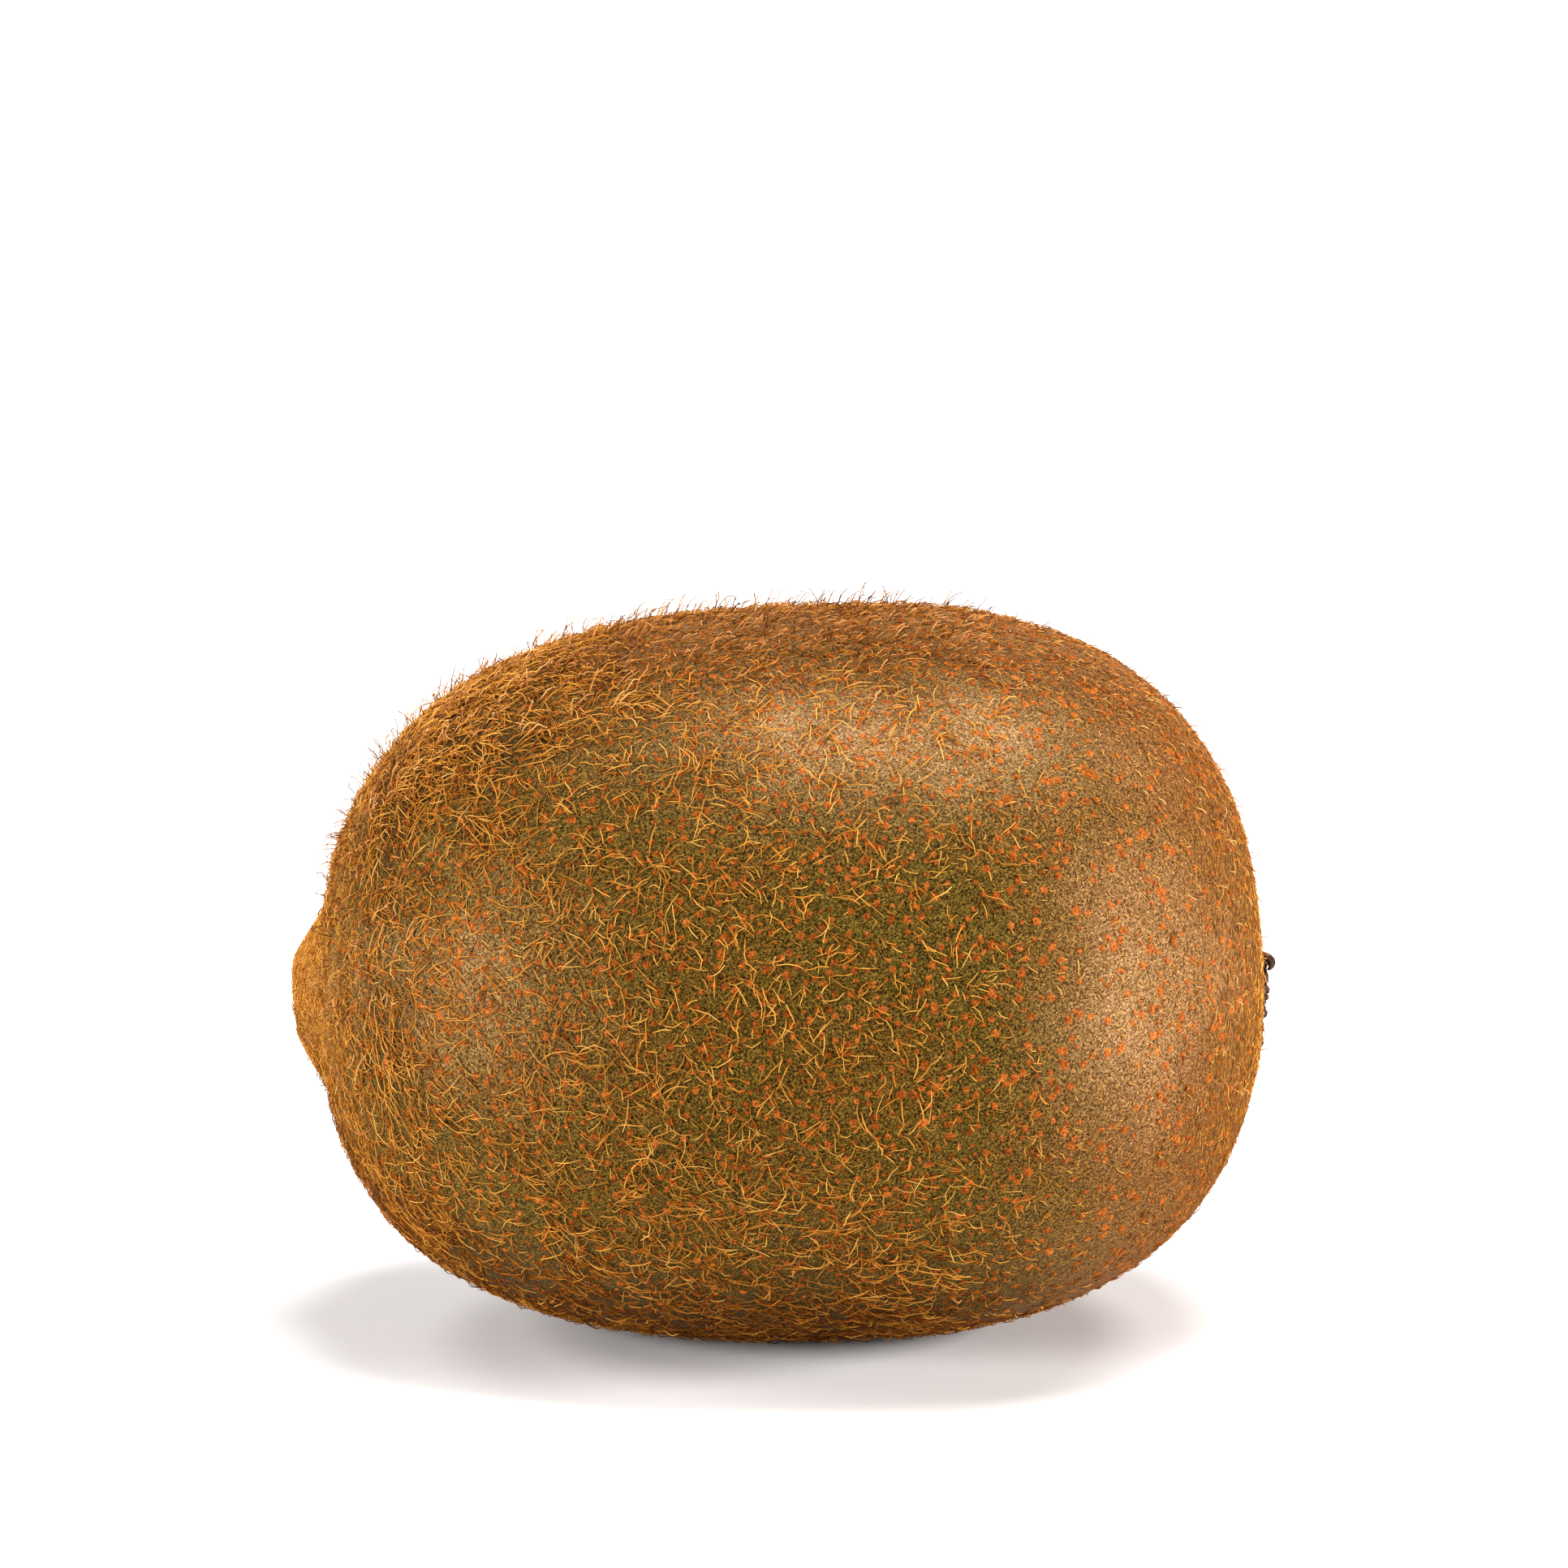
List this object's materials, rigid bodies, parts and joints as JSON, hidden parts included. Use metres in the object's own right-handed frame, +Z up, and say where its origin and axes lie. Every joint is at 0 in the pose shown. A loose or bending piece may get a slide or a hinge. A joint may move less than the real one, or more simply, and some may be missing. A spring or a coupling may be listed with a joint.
{
  "type": "kiwi fruit",
  "caption": "Whole oblong kiwi fruit lying on its side, with furry brown skin, a raised collar round its stalk scar and a dry brown flower remnant in a shallow dish at the other end.",
  "frame": {"origin": "on the surface the fruit lies on, under the middle of its bounding box", "axes": "+X along the fruit from the stalk end to the flower end, +Y across it, +Z up"},
  "size_m": [0.0678, 0.0536, 0.0505],
  "materials": {
    "skin": "matt olive-brown fruit skin under short gold-brown fur",
    "dry_flower": "dry, matt and nearly black-brown"
  },
  "bodies": {
    "root": {"fruit": "skin", "flower_remains": "dry_flower"}
  },
  "joints": []
}
